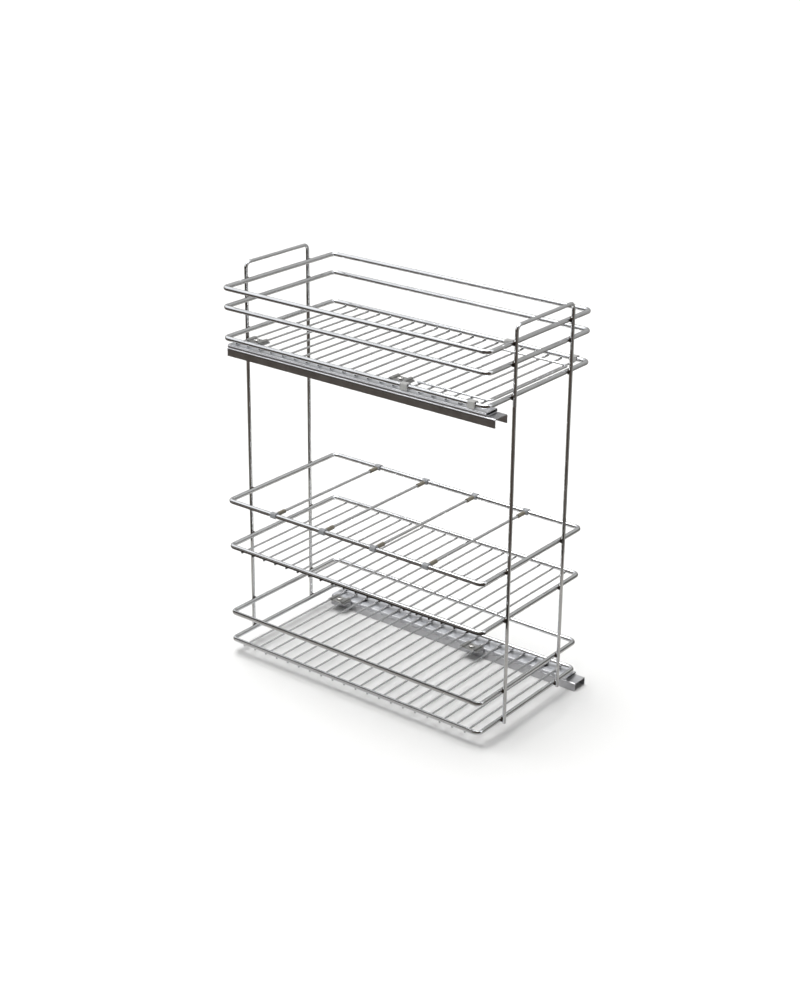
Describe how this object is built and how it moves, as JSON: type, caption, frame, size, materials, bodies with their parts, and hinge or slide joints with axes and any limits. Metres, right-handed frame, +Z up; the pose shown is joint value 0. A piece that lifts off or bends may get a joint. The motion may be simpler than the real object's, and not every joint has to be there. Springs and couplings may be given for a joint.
{
  "type": "pull-out bottle rack",
  "caption": "Chrome wire pull-out rack for a narrow base cabinet: stacked baskets between end frames, bottle dividers, and ball runners at the top left and bottom right.",
  "frame": {"origin": "on the cabinet floor under the middle of the whole outline, level with the lower edges of the bottom channel", "axes": "+Z up, -Y the way the rack pulls out, +X the side of the bottom runner"},
  "size_m": [0.245, 0.468, 0.5831],
  "materials": {
    "chrome_wire": "polished chrome plate on steel wire",
    "runner_steel": "zinc-plated rolled sheet",
    "clamp_steel": "clear passivated zinc plate",
    "ring_clip_plastic": "moulded, light grey",
    "fastener_steel": "bright zinc plate",
    "sleeve_plastic": "moulded",
    "clip_plastic": "moulded"
  },
  "bodies": {
    "cabinet_rails": {"top_channel": "runner_steel", "top_race_rail": "runner_steel", "top_race_rivets": "fastener_steel", "bottom_channel": "runner_steel", "bottom_race_rail": "runner_steel", "bottom_race_rivets": "fastener_steel"},
    "rack": {"top_basket_rim": "chrome_wire", "top_basket_middle_ring": "chrome_wire", "top_basket_floor_ring": "chrome_wire", "middle_basket_rim": "chrome_wire", "middle_basket_floor_ring": "chrome_wire", "bottom_basket_rim": "chrome_wire", "bottom_basket_floor_ring": "chrome_wire", "top_basket_floor_wires": "chrome_wire", "middle_basket_floor_wires": "chrome_wire", "bottom_basket_floor_wires": "chrome_wire", "front_frame": "chrome_wire", "rear_frame": "chrome_wire", "top_floor_frame": "chrome_wire", "ring_clips": "ring_clip_plastic", "top_moving_rail": "runner_steel", "top_clamp_ears": "runner_steel", "top_clamp_plates": "clamp_steel", "top_clamp_screws": "fastener_steel", "top_clamp_nuts": "fastener_steel", "bottom_moving_rail": "runner_steel", "bottom_clamp_ears": "runner_steel", "bottom_clamp_plates": "clamp_steel", "bottom_clamp_screws": "fastener_steel", "bottom_clamp_nuts": "fastener_steel"},
    "top_cage": {"top_ball_cage": "runner_steel", "top_balls": "fastener_steel"},
    "bottom_cage": {"bottom_ball_cage": "runner_steel", "bottom_balls": "fastener_steel"},
    "divider_1": {"divider_rod_1": "chrome_wire", "divider_sleeves_1": "sleeve_plastic", "divider_clips_1": "clip_plastic"},
    "divider_2": {"divider_rod_2": "chrome_wire", "divider_sleeves_2": "sleeve_plastic", "divider_clips_2": "clip_plastic"},
    "divider_3": {"divider_rod_3": "chrome_wire", "divider_sleeves_3": "sleeve_plastic", "divider_clips_3": "clip_plastic"},
    "divider_4": {"divider_rod_4": "chrome_wire", "divider_sleeves_4": "sleeve_plastic", "divider_clips_4": "clip_plastic"}
  },
  "joints": [
    {"name": "pull_out", "type": "slide", "parent": "cabinet_rails", "child": "rack", "axis": [0, -1, 0], "range_m": [0, 0.31]},
    {"name": "top_cage_travel", "type": "slide", "parent": "cabinet_rails", "child": "top_cage", "axis": [0, -1, 0], "range_m": [0, 0.155]},
    {"name": "bottom_cage_travel", "type": "slide", "parent": "cabinet_rails", "child": "bottom_cage", "axis": [0, -1, 0], "range_m": [0, 0.155]},
    {"name": "divider_1_slide", "type": "slide", "parent": "rack", "child": "divider_1", "axis": [0, 1, 0], "range_m": [-0.07, 0.036]},
    {"name": "divider_2_slide", "type": "slide", "parent": "rack", "child": "divider_2", "axis": [0, 1, 0], "range_m": [-0.036, 0.036]},
    {"name": "divider_3_slide", "type": "slide", "parent": "rack", "child": "divider_3", "axis": [0, 1, 0], "range_m": [-0.036, 0.036]},
    {"name": "divider_4_slide", "type": "slide", "parent": "rack", "child": "divider_4", "axis": [0, 1, 0], "range_m": [-0.036, 0.065]}
  ],
  "couplings": [
    {"joint": "top_cage_travel", "follows": "pull_out", "ratio": 0.5},
    {"joint": "bottom_cage_travel", "follows": "pull_out", "ratio": 0.5}
  ]
}
